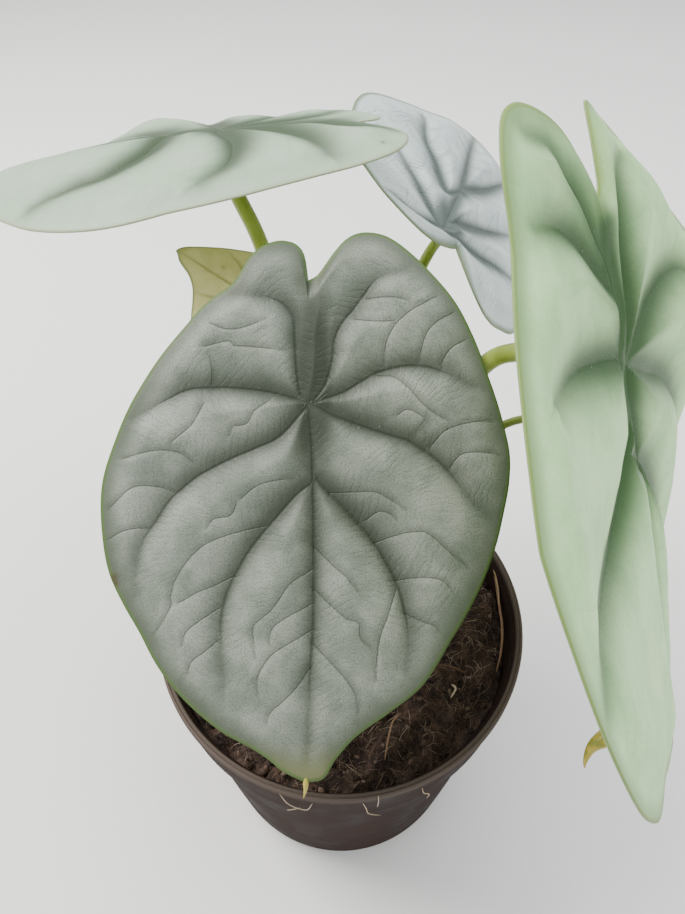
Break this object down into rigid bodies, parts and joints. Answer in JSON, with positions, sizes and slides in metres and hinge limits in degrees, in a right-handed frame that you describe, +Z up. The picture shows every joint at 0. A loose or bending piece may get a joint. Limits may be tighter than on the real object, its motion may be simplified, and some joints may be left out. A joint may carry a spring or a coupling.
{
  "type": "potted plant",
  "caption": "Young silver alocasia in a round dark nursery pot: pale silver-green heart-shaped leaves with dark sunken veins on green stalks above brown potting soil.",
  "frame": {"origin": "middle of the pot's flat underside, which rests on the ground", "axes": "+Z up, -Y the front that the largest facing leaf points to, +X to the right as seen from the front"},
  "size_m": [0.2284, 0.2694, 0.261],
  "materials": {
    "pot_plastic": "thin moulded dark brown-black plastic, matt with a faint sheen, dusty with soil specks",
    "potting_soil": "loose dark brown potting mix of peat and coir fibres with pale specks, fully matt; wood stands in for it",
    "corm": "rough brown papery corm base, matt",
    "blade_front": "silver grey-green leaf with dark sunken veins and a dark green rim, softly satin; leather stands in for living leaf",
    "blade_left": "pale silver-green leaf with grey-green veins, softly satin; leather stands in for living leaf",
    "blade_back": "cool silver-grey leaf with darker veins, softly satin; leather stands in for living leaf",
    "blade_right": "pale green leaf with green valleys at the veins and a yellow-green rim, softly satin; leather stands in for living leaf",
    "blade_old": "yellowing olive leaf, nearly matt; leather stands in for living leaf",
    "blade_low": "yellow-green leaf, nearly matt; leather stands in for living leaf",
    "stalk": "smooth yellow-green leaf stalk, satin; leather stands in for living stalk"
  },
  "bodies": {
    "root": {"pot": "pot_plastic", "soil": "potting_soil", "corm": "corm", "blade_front": "blade_front", "stalk_front": "stalk", "blade_left": "blade_left", "stalk_left": "stalk", "blade_back": "blade_back", "stalk_back": "stalk", "blade_right": "blade_right", "stalk_right": "stalk", "blade_old": "blade_old", "stalk_old": "stalk", "blade_low": "blade_low", "stalk_low": "stalk"}
  },
  "joints": []
}
